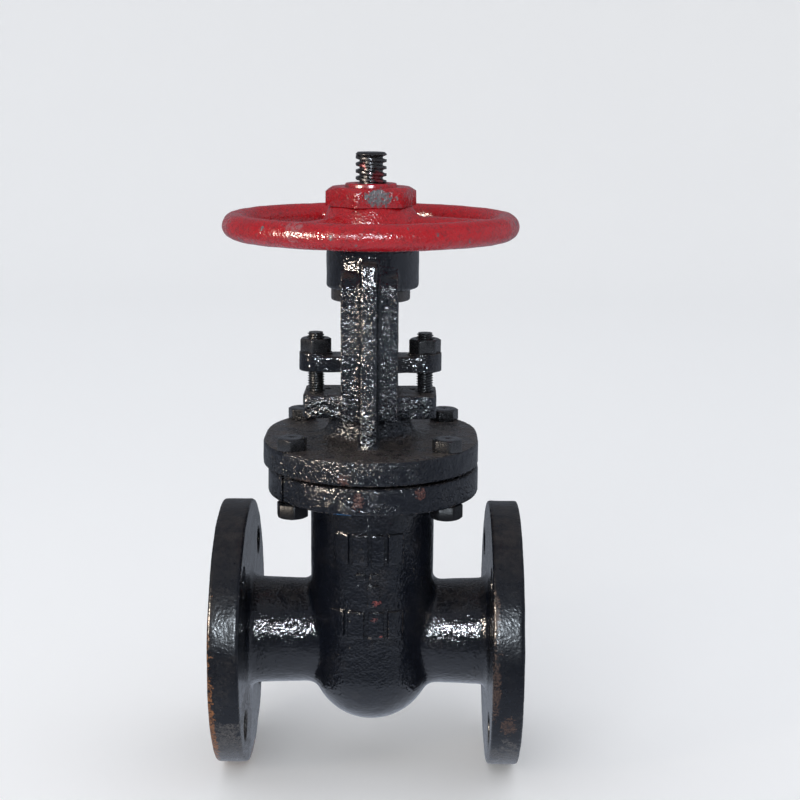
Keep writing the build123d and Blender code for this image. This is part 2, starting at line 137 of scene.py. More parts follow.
def hex_radius(angle, across_flats, turn):
    """Distance from the axis to a hexagon's side, with its corners eased."""
    a = (angle - turn) % (TAU / 6) - TAU / 12
    side = across_flats / 2 / math.cos(a)
    corner = across_flats / math.sqrt(3) * 0.985
    return min(side, corner) - 0.12 * (side / corner) ** 8


def hex_piece(across_flats, height, bore, turn_deg, chamfer_top=True, chamfer_bottom=False, seed=0,
              dent=0.05):
    """(verts, faces) of a hex head or nut from z=0, in mm, its corners cut by a cone."""
    steps, segments = 9, 96
    slope = math.tan(math.radians(30))
    corner, flat = across_flats / math.sqrt(3), across_flats / 2 * 0.95
    drop = (corner - flat) * slope
    levels = [height - drop * (1 - k / steps) for k in range(steps + 1)]
    low = [drop * k / steps for k in range(steps + 1)]
    zs = (low if chamfer_bottom else [0.0, 0.35]) + (levels if chamfer_top else [height - 0.35, height])
    verts, faces = [], []
    inner = bore if bore else 0.4
    for s in range(segments):
        a = TAU * s / segments
        side = hex_radius(a, across_flats, math.radians(turn_deg))
        ring = []
        for z in zs:
            r = side
            if chamfer_top:
                r = min(r, flat + (height - z) / slope)
            elif z > height - 0.1:
                r -= 0.3
            if chamfer_bottom:
                r = min(r, flat + z / slope)
            elif z < 0.1:
                r -= 0.25
            r += dent * noise.noise(Vector((math.cos(a) * 2.3 + seed, math.sin(a) * 2.3, z * 0.22)))
            ring.append((r, z))
        ring += [(inner + 0.6, height), (inner, height - 0.6), (inner, 0.6), (inner + 0.6, 0.0)]
        verts += [Vector((r * math.cos(a), r * math.sin(a), z)) * MM for r, z in ring]
    n = len(zs) + 4
    for s in range(segments):
        t = (s + 1) % segments
        for i in range(n):
            j = (i + 1) % n
            faces.append((s * n + i, t * n + i, t * n + j, s * n + j))
    return verts, faces


def rod(radius, root, pitch, bottom, top, step, left_handed=False, crest=0.12, flank=0.38,
        thread_from=None, thread_to=None, segments=32, chamfer=0.8):
    """(verts, faces) of a rod along Z, in mm, with a helical thread between two heights.

    step is the height of a ring of faces. crest and flank are shares of half a pitch.
    """
    thread_from = bottom if thread_from is None else thread_from
    thread_to = top if thread_to is None else thread_to
    count = max(2, round((top - bottom) / step))
    levels = [bottom + (top - bottom) * k / count for k in range(count + 1)]
    hand = -1 if left_handed else 1
    verts, faces = [], []

    def surface(z, angle):
        phase = (z / pitch - hand * angle / TAU) % 1.0
        d = abs(phase - 0.5) * 2
        depth = min(max((d - crest) / flank, 0.0), 1.0)
        fade = min(1.0, max(0.0, (z - thread_from) / (pitch * 0.6))) * \
            min(1.0, max(0.0, (thread_to - z) / (pitch * 0.3)))
        ends = max(0.0, chamfer - (z - bottom), chamfer - (top - z))
        return radius - (radius - root) * depth * fade - ends

    for z in levels:
        for s in range(segments):
            a = TAU * s / segments
            r = surface(z, a)
            verts.append(Vector((r * math.cos(a), r * math.sin(a), z)) * MM)
    for k in range(count):
        for s in range(segments):
            t = (s + 1) % segments
            faces.append((k * segments + s, k * segments + t, (k + 1) * segments + t,
                          (k + 1) * segments + s))
    faces.append(tuple(range(segments))[::-1])
    faces.append(tuple(range(count * segments, (count + 1) * segments)))
    return verts, faces


def moved(piece, x=0.0, y=0.0, z=0.0):
    """(verts, faces) moved by millimetres."""
    shift = Vector((x, y, z)) * MM
    return [v + shift for v in piece[0]], piece[1]


def pad(x, z, width, height, rise, surface):
    """A plain raised block on the chamber's front, in mm, that follows the wall and sinks into it."""
    nx, nz, sink = 14, 8, 0.9
    verts, faces = [], []
    for layer in (0, 1):
        for i in range(nx + 1):
            for k in range(nz + 1):
                u, w = i / nx * 2 - 1, k / nz * 2 - 1
                px, pz = x + u * width / 2, z + w * height / 2
                out = -sink if layer == 0 else rise
                verts.append(Vector((px, surface(px) - out, pz)) * MM)
    per = (nx + 1) * (nz + 1)

    def at(layer, i, k):
        return layer * per + i * (nz + 1) + k

    for i in range(nx):
        for k in range(nz):
            faces.append((at(1, i, k), at(1, i + 1, k), at(1, i + 1, k + 1), at(1, i, k + 1)))
            faces.append((at(0, i, k + 1), at(0, i + 1, k + 1), at(0, i + 1, k), at(0, i, k)))
    for i in range(nx):
        faces.append((at(0, i, 0), at(0, i + 1, 0), at(1, i + 1, 0), at(1, i, 0)))
        faces.append((at(1, i, nz), at(1, i + 1, nz), at(0, i + 1, nz), at(0, i, nz)))
    for k in range(nz):
        faces.append((at(0, 0, k + 1), at(0, 0, k), at(1, 0, k), at(1, 0, k + 1)))
        faces.append((at(1, nx, k + 1), at(1, nx, k), at(0, nx, k), at(0, nx, k + 1)))
    return verts, faces


# ---- cast surfaces --------------------------------------------------------------------------
def casting(name, node, voxel, waves, fills, cap=None):
    """A cast piece grown over a CAD node: remeshed, its inner corners filled, its skin uneven.

    voxel is in mm, waves is a list of (size, height) in mm and fills a list of (steps, weight), where
    weight gives how far each point in mm may move, from 0 to 1. The piece stays in its node's box.
    """
    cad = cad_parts[node].data
    obj = new_object(name, [v.co for v in cad.vertices], [p.vertices for p in cad.polygons])
    remesh = obj.modifiers.new("skin", "REMESH")
    remesh.mode = "VOXEL"
    remesh.voxel_size = voxel * MM
    bpy.context.view_layer.update()
    evaluated = obj.evaluated_get(bpy.context.evaluated_depsgraph_get())
    mesh = bpy.data.meshes.new_from_object(evaluated)
    obj.modifiers.clear()
    old = obj.data
    obj.data = mesh
    bpy.data.meshes.remove(old)

    count = len(mesh.vertices)
    co = np.empty(count * 3)
    mesh.vertices.foreach_get("co", co)
    co = co.reshape(-1, 3)
    edges = np.empty(len(mesh.edges) * 2, np.int32)
    mesh.edges.foreach_get("vertices", edges)
    a, b = edges[0::2], edges[1::2]
    degree = np.bincount(a, minlength=count) + np.bincount(b, minlength=count)

    def pull(points):
        total = np.stack([np.bincount(a, points[b, k], count) + np.bincount(b, points[a, k], count)
                          for k in range(3)], axis=1)
        return total / degree[:, None] - points

    def normals(points):
        mesh.vertices.foreach_set("co", points.ravel())
        mesh.update()
        found = np.empty(count * 3, np.float32)
        mesh.vertex_normals.foreach_get("vector", found)
        return found.reshape(-1, 3).astype(float)

    for _ in range(3):
        co += 0.6 * pull(co)
        co -= 0.62 * pull(co)
    co += 0.35 * pull(co)
    for steps, weight in fills:
        where = weight(co / MM)
        for step in range(steps):
            if step % 6 == 0:
                out = normals(co)
            d = pull(co)
            hollow = np.einsum("ij,ij->i", d, out) > 0
            co += d * (0.9 * hollow * where)[:, None]
    out = normals(co)
    for index, (size, height) in enumerate(waves):
        scale = 1 / (size * MM)
        lift = np.array([noise.noise(Vector(p) * scale + Vector((index * 7.3, 0, 0))) for p in co])
        co += out * (lift * height * MM)[:, None]
    co = np.clip(co, *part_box(node))
    mesh.vertices.foreach_set("co", co.ravel())
    mesh.update()
    mesh.shade_smooth()
    if cap and len(mesh.polygons) * 2 > cap:
        thin = obj.modifiers.new("thin", "DECIMATE")
        thin.ratio = cap / (len(mesh.polygons) * 2)
    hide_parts(node)
    return obj


# ---- materials ------------------------------------------------------------------------------
class Graph:
    """A short way to write a node material. Lengths are in metres, in object coordinates."""

    def __init__(self, name, **inputs):
        self.mat = bpy.data.materials.new(name)
        self.mat.use_nodes = True
        self.tree = self.mat.node_tree
        self.shader = self.tree.nodes["Principled BSDF"]
        for key, value in inputs.items():
            self.shader.inputs[key.replace("_", " ")].default_value = value
        self.where = self.add("TexCoord").outputs["Object"]
        self.normal = None

    def add(self, kind, **props):
        node = self.tree.nodes.new("ShaderNode" + kind)
        for key, value in props.items():
            setattr(node, key, value)
        return node

    def link(self, source, socket):
        if hasattr(source, "is_output") and source.is_output:
            self.tree.links.new(source, socket)
        else:
            socket.default_value = source
        return socket

    def noise(self, size, detail=2.0, rough=0.5, distort=0.0, stretch=None):
        """Noise whose features are about size mm across; about 0.25 to 0.75."""
        where = self.where
        if stretch:
            node = self.add("VectorMath", operation="MULTIPLY")
            self.link(where, node.inputs[0])
            node.inputs[1].default_value = stretch
            where = node.outputs[0]
        node = self.add("TexNoise")
        self.link(where, node.inputs["Vector"])
        node.inputs["Scale"].default_value = 1000.0 / size
        node.inputs["Detail"].default_value = detail
        node.inputs["Roughness"].default_value = rough
        node.inputs["Distortion"].default_value = distort
        return node.outputs[0]

    def math(self, operation, a, b=0.5, clamp=False):
        node = self.add("Math", operation=operation, use_clamp=clamp)
        self.link(a, node.inputs[0])
        self.link(b, node.inputs[1])
        return node.outputs[0]

    def step(self, value, low, high, out_low=0.0, out_high=1.0):
        """A soft step from out_low at low to out_high at high."""
        node = self.add("MapRange", interpolation_type="SMOOTHSTEP")
        for socket, item in zip(node.inputs, (value, low, high, out_low, out_high)):
            self.link(item, socket)
        return node.outputs[0]

    def mix(self, factor, a, b):
        node = self.add("Mix", data_type="RGBA")
        self.link(factor, node.inputs[0])
        for item, socket in ((a, node.inputs[6]), (b, node.inputs[7])):
            if isinstance(item, tuple):
                socket.default_value = (*item, 1.0)
            else:
                self.link(item, socket)
        return node.outputs[2]

    def facing(self, direction):
        """How far the surface faces a direction, from -1 to 1."""
        node = self.add("VectorMath", operation="DOT_PRODUCT")
        self.link(self.add("NewGeometry").outputs["Normal"], node.inputs[0])
        node.inputs[1].default_value = direction
        return node.outputs["Value"]

    def edges(self):
        """Near 1 on outward edges, 0.5 on flats."""
        return self.add("NewGeometry").outputs["Pointiness"]

    def spot(self, x, y, z, radius, ragged=0.5, size=4.0, flatten=(1, 1, 1)):
        """A ragged spot round a point, in mm."""
        offset = self.add("VectorMath", operation="SUBTRACT")
        self.link(self.where, offset.inputs[0])
        offset.inputs[1].default_value = (x * MM, y * MM, z * MM)
        scaled = self.add("VectorMath", operation="MULTIPLY")
        self.link(offset.outputs[0], scaled.inputs[0])
        scaled.inputs[1].default_value = flatten
        length = self.add("VectorMath", operation="LENGTH")
        self.link(scaled.outputs[0], length.inputs[0])
        near = self.math("DIVIDE", length.outputs["Value"], radius * MM)
        rough = self.math("MULTIPLY", self.math("SUBTRACT", self.noise(size, 4, 0.6), 0.5), ragged * 4)
        return self.step(self.math("ADD", near, rough), 1.08, 0.92)

    def height(self, axis=2):
        """The place along an axis, in metres: z unless another is named."""
        node = self.add("SeparateXYZ")
        self.link(self.where, node.inputs[0])
        return node.outputs[axis]

    def bump(self, value, distance):
        """Lets light see the value as a height, its full range being the distance in mm."""
        node = self.add("Bump")
        node.inputs["Strength"].default_value = 1.0
        node.inputs["Distance"].default_value = distance * MM
        self.link(value, node.inputs["Height"])
        self.normal = node.outputs[0]

    def done(self, color, roughness, metallic=None):
        self.link(color, self.shader.inputs["Base Color"])
        self.link(roughness, self.shader.inputs["Roughness"])
        if metallic is not None:
            self.link(metallic, self.shader.inputs["Metallic"])
        if self.normal is not None:
            self.link(self.normal, self.shader.inputs["Normal"])
        return self.mat


# The pipe flanges' rims start this far from the stem's axis, in metres.
RIM_FROM = abs(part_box("body")[0][0]) - 0.0195
EVEN_SHEEN = (0.0, 0.001, 1.0, 1.0)


def black_paint(name, size, rough_low, rough_high, border, dust, rust=(), marks=(), sheen=EVEN_SHEEN):
    """Gloss black paint over sand-cast iron, dusty on top, with rust showing at knocks.

    size is the grain's, in mm. Its height goes from rough_low to rough_high over border, in metres of z.
    sheen is a step in z of how much the paint mirrors. The pipe flanges' rims are smoother and duller.
    """
    g = Graph(name)
    grain = g.noise(size, 0.8, 0.5, 0.3)
    patch = g.step(g.noise(9, 3, 0.6), 0.36, 0.60, 0.5, 1.15)
    rim = g.step(g.math("ABSOLUTE", g.height(0)), RIM_FROM, RIM_FROM + 0.002)
    height = g.math("MULTIPLY", g.step(g.height(), *border, rough_low, rough_high), patch)
    height = g.math("MULTIPLY", height, g.step(rim, 0.0, 1.0, 1.0, 0.35))
    g.bump(g.math("MULTIPLY", grain, height), 1.0)
    tint = g.mix(g.noise(26, 4, 0.6), (0.0030, 0.0042, 0.0075), (0.0075, 0.0090, 0.0135))
    up = g.step(g.facing((0, 0, 1)), 0.50, 0.95)
    patchy = g.step(g.noise(7, 6, 0.75), 0.36, 0.62, 0.25, 1.0)
    dusty = g.math("MULTIPLY", g.math("MULTIPLY", up, patchy), dust)
    color = g.mix(dusty, tint, (0.066, 0.054, 0.046))
    film = g.math("MULTIPLY", g.step(g.noise(30, 5, 0.7), 0.50, 0.66),
                  g.step(g.noise(2.0, 5, 0.75), 0.40, 0.62))
    color = g.mix(g.math("MULTIPLY", film, 0.30), color, (0.050, 0.044, 0.040))
    chips = g.math("MULTIPLY", g.step(g.edges(), 0.515, 0.57), g.step(g.noise(2.4, 4, 0.7), 0.47, 0.60))
    chips = g.step(chips, 0.30, 0.60)
    color = g.mix(g.math("MULTIPLY", chips, 0.55), color, (0.10, 0.078, 0.064))
    rough = g.step(g.noise(8, 3, 0.6), 0.3, 0.7, 0.11, 0.16)
    rough = g.math("ADD", rough, g.math("MULTIPLY", rim, 0.13))
    mirror = g.math("MULTIPLY", g.step(rim, 0.0, 1.0, 0.5, 0.26), g.step(g.height(), *sheen))
    g.link(mirror, g.shader.inputs["Specular IOR Level"])
    rough = g.math("ADD", rough, g.math("MULTIPLY", dusty, 0.45))
    rough = g.math("ADD", rough, g.math("MULTIPLY", chips, 0.3), clamp=True)
    for where, shade in rust:
        mask = g.math("MULTIPLY", g.spot(*where), g.step(g.noise(1.3, 4, 0.75), 0.40, 0.58, 0.05, 0.85))
        color = g.mix(mask, color, shade)
        rough = g.math("MAXIMUM", rough, g.math("MULTIPLY", mask, 0.6))
    for where, shade in marks:
        color = g.mix(g.spot(*where), color, shade)
    return g.done(color, rough)


def red_paint(name, chips_and_glint_at=(), scuffs=()):
    """Gloss red paint over cast iron, with dark chips, pale scuffs, painted shade underneath and some
    painted glints.
    """
    g = Graph(name)
    g.bump(g.noise(1.8, 1.0, 0.5, 0.3), 0.55)
    color = g.mix(g.noise(14, 5, 0.65), (0.50, 0.007, 0.013), (0.30, 0.004, 0.009))
    color = g.mix(g.step(g.noise(2.4, 5, 0.75), 0.50, 0.64, 0.0, 0.75), color, (0.20, 0.010, 0.014))
    # Painted shade: the red turns deeper and darker on surfaces that face down.
    underside_shade = g.step(g.facing((0, 0, -1)), -0.2, 0.9)
    color = g.mix(g.math("MULTIPLY", underside_shade, 0.5), color, (0.20, 0.004, 0.010))
    specks = g.step(g.noise(4.2, 5, 0.75), 0.635, 0.67)
    color = g.mix(g.math("MULTIPLY", specks, 0.8), color, (0.10, 0.075, 0.075))
    rough = g.step(g.noise(7, 3, 0.6), 0.3, 0.7, 0.17, 0.30)
    worn = g.math("MULTIPLY", g.step(g.edges(), 0.53, 0.62), g.step(g.noise(2.8, 4, 0.7), 0.5, 0.62))
    worn = g.step(worn, 0.35, 0.65)
    color = g.mix(g.math("MULTIPLY", worn, 0.7), color, (0.22, 0.10, 0.10))
    for where in scuffs:
        mask = g.math("MULTIPLY", g.spot(*where), g.step(g.noise(2.2, 4, 0.7), 0.42, 0.6, 0.15, 0.7))
        color = g.mix(mask, color, (0.30, 0.13, 0.14))
        rough = g.math("MAXIMUM", rough, g.math("MULTIPLY", mask, 0.55))
    # Each listed spot is a chip, except where it stands in for a painted glint.
    for where in chips_and_glint_at:
        mask = g.math("MULTIPLY", g.spot(*where), g.step(g.noise(1.7, 4, 0.7), 0.36, 0.5, 0.25, 1.0))
        color = g.mix(mask, color, (0.085, 0.088, 0.098))
        rough = g.math("MAXIMUM", rough, g.math("MULTIPLY", mask, 0.5))
    return g.done(color, rough)


def bright_metal(name, low, high, grime=None):
    """Turned brass or steel with fine tool marks."""
    g = Graph(name, Metallic=1.0)
    lines = g.noise(0.5, 3, 0.6, stretch=(0.25, 0.25, 4.0))
    g.bump(lines, 0.05)
    color = g.mix(g.noise(6, 4, 0.6), low, high)
    if grime:
        color = g.mix(g.step(g.noise(9, 5, 0.7), 0.42, 0.66, 0.0, 0.8), color, grime)
    return g.done(color, g.step(g.noise(3, 3, 0.6), 0.3, 0.7, 0.22, 0.42))


def dark_steel(name, base, high, grain, depth, roughness, red=(), metallic=0.0, mirror=0.5):
    """Black painted or greased steel, with red overspray at some spots."""
    g = Graph(name, Metallic=metallic, Specular_IOR_Level=mirror)
    g.bump(g.noise(grain, 3, 0.6), depth)
    color = g.mix(g.noise(5, 4, 0.65), base, high)
    for where in red:
        color = g.mix(g.math("MULTIPLY", g.spot(*where), 0.7), color, (0.16, 0.008, 0.012))
    worn = g.math("MULTIPLY", g.step(g.edges(), 0.53, 0.64), g.step(g.noise(2.0, 4, 0.7), 0.5, 0.6))
    worn = g.step(worn, 0.4, 0.7)
    color = g.mix(g.math("MULTIPLY", worn, 0.5), color, (0.09, 0.08, 0.075))
    return g.done(color, g.step(g.noise(2.5, 3, 0.6), 0.3, 0.7, *roughness))


RUST_RED, RUST_ORANGE, RUST_BROWN = (0.10, 0.032, 0.022), (0.26, 0.10, 0.03), (0.075, 0.042, 0.03)
DUST_GREY = (0.085, 0.080, 0.078)
# Each row: (x, y, z, radius in mm, raggedness, its size, stretch), colour.
BODY_RUST = [
    ((-5, -72, 101, 3.6, 0.8, 2.0, (1.2, 1, 0.8)), RUST_RED),
    ((-52, -26, 88, 3.5, 0.6, 2.0), RUST_RED),
    ((30, -65, 104, 3, 0.7, 2.0), RUST_RED),
    ((-82, -20, -78.5, 15, 0.7, 5.0, (0.8, 0.4, 3.0)), RUST_ORANGE),
    ((-82, -45, -52, 34, 0.5, 9.0, (1.5, 1, 1)), DUST_GREY),
    ((-90, -60, -30, 30, 0.7, 3.0, (10, 1, 0.5)), RUST_ORANGE),
    ((82, -45, -58, 22, 0.6, 8.0, (1.5, 1, 1)), DUST_GREY),
    ((74, -70, 32, 7, 0.9, 2.0, (3.4, 1, 0.4)), RUST_BROWN),
    ((74, -79, -6, 8, 0.9, 2.0, (3.4, 1, 0.4)), RUST_BROWN),
    ((82, -74, -32, 4, 0.9, 2.0, (1, 1, 0.6)), RUST_BROWN),
    ((5.5, -46, 33, 1.7, 0.9, 1.2, (0.7, 0.5, 1.2)), (0.26, 0.030, 0.022)),
    ((8, -46, 13, 1.2, 0.9, 1.2, (1, 0.5, 1)), (0.20, 0.025, 0.022)),
    ((4, -46, 23, 1.3, 0.9, 1.2, (0.6, 0.5, 1)), (0.14, 0.03, 0.03)),
]
BLUE_SMEAR = [((-14, -71, 92.2, 4.6, 0.5, 2.0, (0.75, 1, 5.0)), (0.02, 0.10, 0.24))]
BONNET_RUST = [
    ((-13, -72, 113, 3.2, 0.9, 2.0), RUST_RED),
    ((47, -48, 120, 2.5, 0.8, 2.0), RUST_BROWN),
    ((-30, -60, 110, 5, 0.9, 2.0, (0.5, 1, 2.6)), RUST_BROWN),
]
paint_body = black_paint("paint_body", 1.5, 0.42, 1.05, (0.086, 0.093), 0.35, BODY_RUST, BLUE_SMEAR,
                         sheen=(0.086, 0.093, 1.0, 0.6))
paint_bonnet = black_paint("paint_bonnet", 1.6, 1.35, 0.5, (0.208, 0.218), 0.7, BONNET_RUST,
                           sheen=(0.120, 0.126, 0.55, 1.0))
paint_gland = black_paint("paint_gland", 1.6, 0.42, 0.42, (0.1, 0.2), 0.5)
paint_nuts = dark_steel("paint_nuts", (0.005, 0.006, 0.008), (0.014, 0.014, 0.016), 2.4, 0.12, (0.26, 0.4),
                        mirror=0.08)
paint_bolts = dark_steel("paint_bolts", (0.006, 0.007, 0.009), (0.018, 0.018, 0.02), 2.4, 0.12, (0.2, 0.34))
wheel_red = red_paint(
    "wheel_red",
    chips_and_glint_at=[(-19, -85, 249, 1.3, 1.0, 1.0), (56, -66, 245, 1.0, 1.0, 1.0), (38, -78, 251, 1.0, 1.0, 1.0),
              (-72, -46, 243, 1.9, 1.0, 1.0), (-6, -86, 245, 0.9, 1.0, 1.0), (-58, -64, 252, 1.5, 1.0, 1.0),
              (85, -20, 252, 2.4, 1.0, 1.2)],
    scuffs=[(-84, -18, 250, 13, 0.7, 4.0), (84, -14, 249, 20, 0.6, 5.0), (-40, -76, 253, 6, 0.9, 3.0)],
)
nut_red = red_paint(
    "nut_red",
    # The second spot is a painted highlight: a pale grey glint on the nut's right face, not a chip.
    chips_and_glint_at=[(5, -23.5, 266, 6.2, 0.7, 2.4, (0.76, 1, 1.25)), (23, -14, 262.5, 2.2, 0.9, 1.5)],
    scuffs=[(25, -6, 268, 7, 0.6, 3.0)],
)
brass = bright_metal("brass_turned", (0.60, 0.37, 0.13), (0.78, 0.54, 0.24), grime=(0.20, 0.12, 0.05))
steel_key = bright_metal("steel_key", (0.30, 0.30, 0.31), (0.45, 0.45, 0.46))
stem_black = dark_steel("stem_greased", (0.012, 0.012, 0.014), (0.05, 0.048, 0.05), 1.4, 0.12, (0.16, 0.34),
                        red=[(4, -7, 277, 3.5, 0.8, 2.0), (-5, -7, 283, 2.2, 0.8, 2.0)], metallic=0.35)


def graphite():
    """Pressed graphite: dark, dull, finely grained."""
    g = Graph("graphite")
    g.bump(g.noise(0.8, 4, 0.7), 0.2)
    return g.done(g.mix(g.noise(3, 4, 0.6), (0.012, 0.012, 0.013), (0.035, 0.035, 0.037)),
                  g.step(g.noise(2, 3), 0.3, 0.7, 0.5, 0.75))


def raw_iron():
    """Unpainted cast iron."""
    g = Graph("raw_iron", Metallic=0.4)
    g.bump(g.noise(1.6, 4, 0.65), 0.35)
    color = g.mix(g.noise(9, 5, 0.7), (0.055, 0.05, 0.05), (0.13, 0.115, 0.105))
    return g.done(color, g.step(g.noise(3, 3), 0.3, 0.7, 0.45, 0.7))


def nut_metal():
    """The stem nut: brass below its painted collar, red where the wheel was sprayed."""
    g = Graph("stem_nut_skin")
    z = g.height()
    g.bump(g.noise(2.2, 3, 0.6), 0.18)
    brassy = g.mix(g.noise(5, 4), (0.42, 0.27, 0.10), (0.24, 0.15, 0.06))
    low = g.step(g.math("ADD", z, g.math("MULTIPLY", g.noise(4, 4), 0.002)), 0.2150, 0.2146)
    high = g.step(z, 0.258, 0.259)
    color = g.mix(low, brassy, g.mix(g.noise(5, 4), (0.007, 0.008, 0.010), (0.035, 0.026, 0.020)))
    red = g.mix(g.step(g.noise(4, 5, 0.7), 0.5, 0.66), (0.40, 0.008, 0.018), (0.09, 0.055, 0.055))
    color = g.mix(high, color, red)
    return g.done(color, g.step(g.noise(4, 3), 0.3, 0.7, 0.2, 0.4))


graphite_mat, iron_mat, nut_mat = graphite(), raw_iron(), nut_metal()


def dress(obj, mat, body, node=None):
    """Gives a new piece its material, slot and body, and the CAD nodes that it stands for."""
    obj.data.materials.clear()
    obj.data.materials.append(mat)
    if node:
        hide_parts(*([node] if isinstance(node, str) else node))
    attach(obj, body)
    return obj


def repaint(nodes, mat):
    """A CAD node that stays gets a procedural material."""
    for node in nodes:
        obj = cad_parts[node]
        obj.data.materials.clear()
        obj.data.materials.append(mat)


# ---- the castings ---------------------------------------------------------------------------
# Lengths from here to the studio are in mm. The chamber is a slot in plan, set a little to the right.
CHAMBER_R, CHAMBER_HALF_STRAIGHT, CHAMBER_SHIFT = 36.9, 9.0, 1.8
PAD_RISE = 1.9
# Each row of pads: middle z, height, then (x, width) of each pad.
PAD_ROWS = [
    (65.0, 18.0, [(-15.5, 8.0), (-4.5, 9.0), (6.0, 7.5), (16.5, 8.5)]),
    (48.5, 3.6, [(-4.0, 5.5), (4.0, 5.5)]),
    (37.0, 12.5, [(3.5, 7.0)]),
    (19.0, 16.0, [(-18.5, 8.5), (-7.0, 9.5), (5.0, 9.0), (16.5, 8.5)]),
]
MOST_TRIANGLES = 198000


def chamber_front(x):
    """The chamber's front wall: y for an x."""
    return -(CHAMBER_HALF_STRAIGHT + math.sqrt(max(CHAMBER_R ** 2 - (x - CHAMBER_SHIFT) ** 2, 0.0)))


def band(value, low, high, soft):
    """1 between two limits, falling to 0 at each over a soft distance."""
    return np.clip((value - low) / soft, 0, 1) * np.clip((high - value) / soft, 0, 1)


def off_pipe(p):
    """Points outside the pipe's bore."""
    return np.hypot(p[:, 1], p[:, 2]) > 27


def off_stem(p):
    """Distance from the stem's axis."""
    return np.hypot(p[:, 0], p[:, 1])


def under_necks(p):
    """Where the bowl of the chamber runs into the two necks."""
    return band(np.abs(p[:, 0]), 20, 62, 9) * band(-p[:, 2], 16, 99, 14) * off_pipe(p)


def around_necks(p):
    """The corners of the necks with the chamber and with the pipe flanges."""
    return (np.abs(p[:, 0]) > 24) & (np.abs(p[:, 0]) < 73) & (p[:, 2] < 60) & off_pipe(p)


def under_top_flange(p):
    """The corner of the chamber with the body's top flange."""
    return (p[:, 2] > 80) & (p[:, 2] < 92) & (off_stem(p) < 50)


def above_bonnet_flange(p):
    """The corner of the bonnet's neck with its flange."""
    return (p[:, 2] > 118) & (p[:, 2] < 134) & (np.abs(p[:, 0]) < 34) & (np.abs(p[:, 1]) < 52)


def along_yoke_arms(p):
    """The corners of the yoke's arms with their ribs, the plate and the hub."""
    return (p[:, 2] > 128) & (p[:, 2] < 232) & (np.abs(p[:, 1]) > 22)


def above_gland_nose(p):
    """The gland's flange."""
    return p[:, 2] > 150


def along_spokes(p):
    """The spokes and their feet on the handwheel's hub."""
    return (off_stem(p) > 20) & (off_stem(p) < 50)


def at_rim(p):
    """Where the spokes run into the handwheel's rim."""
    return off_stem(p) > 58


body = casting(
    "cast_body", "body", 1.15, [(12.0, 0.16), (3.2, 0.07)],
    fills=[(34, under_necks), (3, around_necks), (10, under_top_flange)], cap=MOST_TRIANGLES)
dress(body, paint_body, ROOT)
marks = join_meshes("cast_marks", [pad(x, z, width, height, PAD_RISE, chamber_front)
                                   for z, height, row in PAD_ROWS for x, width in row])
ease = marks.modifiers.new("ease", "BEVEL")
ease.width = 0.8 * MM
ease.segments = 3
ease.angle_limit = math.radians(60)
dress(marks, paint_body, ROOT)

bonnet = casting(
    "cast_bonnet", "bonnet", 0.95, [(9.0, 0.16), (2.6, 0.12)],
    fills=[(26, above_bonnet_flange), (16, along_yoke_arms)], cap=MOST_TRIANGLES)
dress(bonnet, paint_bonnet, ROOT)

gland = casting("cast_gland", "gland", 0.7, [(6.0, 0.16), (2.2, 0.08)],
                fills=[(10, above_gland_nose)])
dress(gland, paint_gland, ROOT)

wheel = casting(
    "cast_handwheel", "handwheel", 0.95, [(12.0, 0.24), (3.0, 0.10)],
    fills=[(90, along_spokes), (60, at_rim)])
dress(wheel, wheel_red, WHEEL)

# ---- lock nut, stem nut ---------------------------------------------------------------------
WHEEL_TOP = 260.2
LOCK_NUT_FLATS, LOCK_NUT_HEIGHT, LOCK_NUT_BORE_R = 47.4, 11.0, 15.1
lock_piece = hex_piece(LOCK_NUT_FLATS, LOCK_NUT_HEIGHT, LOCK_NUT_BORE_R, 12.8, seed=3, dent=0.3)
lock_nut = sharpen(join_meshes("lock_nut_hex", [moved(lock_piece, z=WHEEL_TOP)]), 50)
dress(lock_nut, nut_red, WHEEL, "lock_nut")

# From the bottom: the collar under the yoke's hub, the journal in it, the wheel's seat, the screw end.
STEM_NUT_BORE_R = 9.2
stem_nut_profile = [
    (STEM_NUT_BORE_R, 205.3), (23.3, 205.3), (23.3, 212.3), (16.8, 212.3), (16.8, 238.0), (16.0, 238.0),
    (16.0, 259.8), (15.0, 259.8), (15.0, 273.2), (STEM_NUT_BORE_R, 273.2)]
stem_nut = sharpen(join_meshes("stem_nut_turned", [lathe(stem_nut_profile, 96, 0.9, 0.004)]))
dress(stem_nut, nut_mat, WHEEL, "stem_nut")

# ---- stem -----------------------------------------------------------------------------------
STEM_R, STEM_ROOT_R, STEM_PITCH, STEM_TOP = 9.0, 6.85, 4.0, 291.0
stem_thread = rod(STEM_R, STEM_ROOT_R, STEM_PITCH, 56.5, STEM_TOP, 0.35, left_handed=True, crest=0.40,
                  flank=0.22, thread_from=178.0, thread_to=289.5, segments=72, chamfer=1.1)
# The T head that holds the wedge, and the cone that closes on the backseat.
stem_foot = lathe([(0.4, 34.3), (9.4, 34.3), (9.4, 41.9), (7.0, 41.9), (7.0, 50.0), (12.5, 50.0),
                   (12.5, 52.5), (STEM_R, 56.8), (0.4, 56.8)], 64, 0.4)
stem = sharpen(join_meshes("stem_threaded", [stem_thread, stem_foot]), 42)
dress(stem, stem_black, STEM, "stem")

# ---- bolts, studs and nuts ------------------------------------------------------------------
SCREW_R, SCREW_ROOT_R, SCREW_PITCH, STICK_OUT = 5.0, 4.2, 1.5, 1.2
HEAD_FLATS, HEAD_HEIGHT, NUT_FLATS, NUT_HEIGHT = 16.0, 7.0, 17.0, 8.2
BOLT_X, BOLT_SHIFT, BOLT_Y = 44.4, 0.8, 42.6
BODY_FLANGE_BOTTOM, BONNET_FLANGE_TOP = 92.2, 123.8
